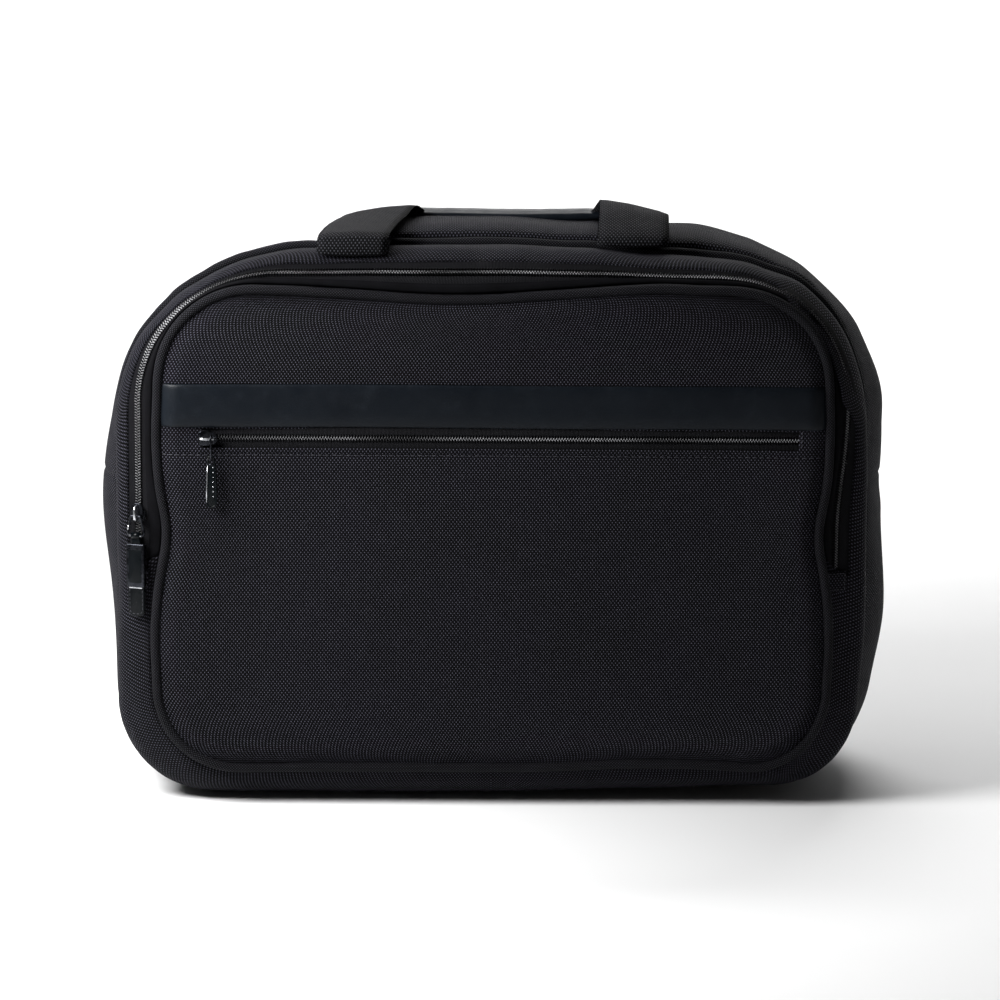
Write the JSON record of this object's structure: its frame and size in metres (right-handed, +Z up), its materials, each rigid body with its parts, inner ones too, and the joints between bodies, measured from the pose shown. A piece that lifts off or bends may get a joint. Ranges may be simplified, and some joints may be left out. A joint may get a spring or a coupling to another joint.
{
  "type": "flight bag",
  "caption": "Soft-sided black flight bag with a zipped front compartment, a piped zipped main compartment, a leather band and two folding carry handles.",
  "frame": {"origin": "middle of the flat base, on the surface the bag stands on", "axes": "+X to the right as seen from the front, +Y towards the back, +Z up"},
  "size_m": [0.4373, 0.1718, 0.3164],
  "materials": {
    "cloth": "matte coarse weave",
    "piping": "matte coarse weave",
    "webbing": "matte ribbed",
    "tape": "matte",
    "lining": "satin",
    "foam": "matte foam",
    "leather": "smooth satin",
    "coil": "gloss",
    "metal": "dark gunmetal",
    "board": "matte"
  },
  "bodies": {
    "bag": {"base_gusset": "cloth", "base_board": "board", "divider_panel": "cloth", "divider_foam": "foam", "main_seam_piping": "piping", "top_strip_front": "cloth", "main_zip_tape_front": "tape", "main_zip_coil_front": "coil", "main_zip_end_tab_left": "cloth", "main_zip_end_tab_right": "cloth", "back_panel_lower": "cloth", "back_foam_lower": "foam", "back_piping_lower": "piping", "front_gusset_lower": "cloth", "front_gusset_upper": "cloth", "front_zip_tape_outer": "tape", "front_zip_coil_outer": "coil", "front_zip_end_tab_left": "cloth", "front_zip_end_tab_right": "cloth", "front_panel_lower": "cloth", "front_piping_lower": "piping", "front_handle_anchor_left": "webbing", "front_handle_anchor_right": "webbing"},
    "front_flap": {"front_panel_middle": "cloth", "front_panel_top": "cloth", "leather_band": "leather", "pocket_zip_tape_upper": "tape", "pocket_zip_tape_lower": "tape", "pocket_zip_coil": "coil", "pocket_pouch": "lining", "front_piping_upper": "piping", "flap_strip": "cloth", "front_zip_tape_inner": "tape", "front_zip_coil_inner": "coil"},
    "back_leaf": {"back_panel_upper": "cloth", "back_foam_upper": "foam", "back_piping_upper": "piping", "top_strip_rear": "cloth", "main_zip_tape_rear": "tape", "main_zip_coil_rear": "coil", "rear_handle_anchor_left": "webbing", "rear_handle_anchor_right": "webbing"},
    "pocket_slider": {"pocket_slider": "metal"},
    "pocket_link": {"pocket_pull_link": "metal"},
    "pocket_tab": {"pocket_pull_tab": "metal"},
    "front_slider": {"front_slider": "metal"},
    "front_ring": {"front_pull_ring": "metal"},
    "front_tab": {"front_pull_strap": "leather", "front_pull_sleeve": "metal"},
    "main_slider": {"main_slider": "metal"},
    "main_ring": {"main_pull_link": "metal"},
    "main_tab": {"main_pull_tab": "metal"},
    "front_handle": {"front_handle_webbing_left": "webbing", "front_handle_webbing_right": "webbing", "front_handle_grip": "leather"},
    "rear_handle": {"rear_handle_webbing_left": "webbing", "rear_handle_webbing_right": "webbing", "rear_handle_grip": "leather"}
  },
  "joints": [
    {"name": "flap_fold", "type": "hinge", "parent": "bag", "child": "front_flap", "pos_m": [0, -0.08, 0.126], "axis": [1, 0, 0], "range_deg": [0, 50]},
    {"name": "leaf_fold", "type": "hinge", "parent": "bag", "child": "back_leaf", "pos_m": [0, 0.075, 0.17], "axis": [-1, 0, 0], "range_deg": [0, 35]},
    {"name": "pocket_zip", "type": "slide", "parent": "front_flap", "child": "pocket_slider", "axis": [1, 0, 0], "range_m": [0, 0.306]},
    {"name": "pocket_link_swing", "type": "hinge", "parent": "pocket_slider", "child": "pocket_link", "pos_m": [-0.15, -0.0846, 0.2015], "axis": [-1, 0, 0], "range_deg": [0, 120]},
    {"name": "pocket_tab_swing", "type": "hinge", "parent": "pocket_link", "child": "pocket_tab", "pos_m": [-0.15, -0.0846, 0.19075], "axis": [-1, 0, 0], "range_deg": [0, 40]},
    {"name": "front_zip", "type": "slide", "parent": "bag", "child": "front_slider", "axis": [0, 0, 1], "range_m": [0, 0.041]},
    {"name": "front_ring_swing", "type": "hinge", "parent": "front_slider", "child": "front_ring", "pos_m": [-0.19127, -0.0755, 0.1581], "axis": [-0.9396, 0.3424, 0], "range_deg": [0, 120]},
    {"name": "front_tab_swing", "type": "hinge", "parent": "front_ring", "child": "front_tab", "pos_m": [-0.19127, -0.0755, 0.1476], "axis": [-0.9396, 0.3424, 0], "range_deg": [0, 45]},
    {"name": "main_zip", "type": "slide", "parent": "bag", "child": "main_slider", "axis": [0, 0, 1], "range_m": [0, 0.024]},
    {"name": "main_ring_swing", "type": "hinge", "parent": "main_slider", "child": "main_ring", "pos_m": [0.2164, 0.04743, 0.1751], "axis": [0.3088, -0.9511, 0], "range_deg": [0, 120]},
    {"name": "main_tab_swing", "type": "hinge", "parent": "main_ring", "child": "main_tab", "pos_m": [0.2164, 0.04743, 0.1661], "axis": [0.3088, -0.9511, 0], "range_deg": [0, 45]},
    {"name": "front_handle_swing", "type": "hinge", "parent": "bag", "child": "front_handle", "pos_m": [0, -0.0412, 0.3042], "axis": [1, 0, 0], "range_deg": [0, 130]},
    {"name": "rear_handle_swing", "type": "hinge", "parent": "back_leaf", "child": "rear_handle", "pos_m": [0, 0.0774, 0.293], "axis": [1, 0, 0], "range_deg": [0, 170]}
  ]
}
